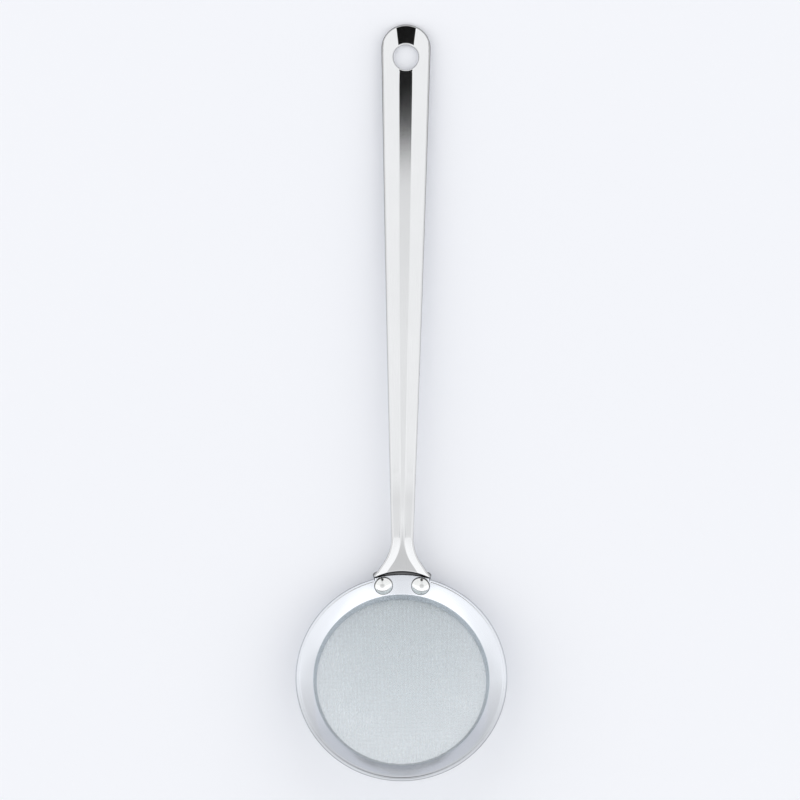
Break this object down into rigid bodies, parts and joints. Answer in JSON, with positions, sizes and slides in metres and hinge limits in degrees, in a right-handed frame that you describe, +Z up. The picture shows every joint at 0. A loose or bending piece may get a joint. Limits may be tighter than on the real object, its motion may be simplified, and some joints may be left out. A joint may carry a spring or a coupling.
{
  "type": "fine mesh skimmer",
  "caption": "Shallow round skimmer with a flat fine-mesh bottom in a flanged steel rim, riveted to a long tapered trough handle with a hanging hole.",
  "frame": {"origin": "bottom centre of the whole skimmer's box, on the table that it lies on", "axes": "+Y along the handle to its round end, -Y to the dish, +Z up, X across; the dish lies tilted on its heel"},
  "size_m": [0.102, 0.3652, 0.0411],
  "materials": {
    "handle_steel": "polished pressed stainless sheet with faint lengthwise brush lines",
    "rim_steel": "satin pressed stainless sheet, brushed round the rim",
    "gauze_wire": "fine woven stainless wire",
    "ring_steel": "rolled stainless strip",
    "rivet_steel": "polished stainless rivets"
  },
  "bodies": {
    "root": {"handle": "handle_steel", "rim_frame": "rim_steel", "mesh_screen": "gauze_wire", "retaining_ring": "ring_steel", "rivet_left": "rivet_steel", "rivet_right": "rivet_steel"}
  },
  "joints": []
}
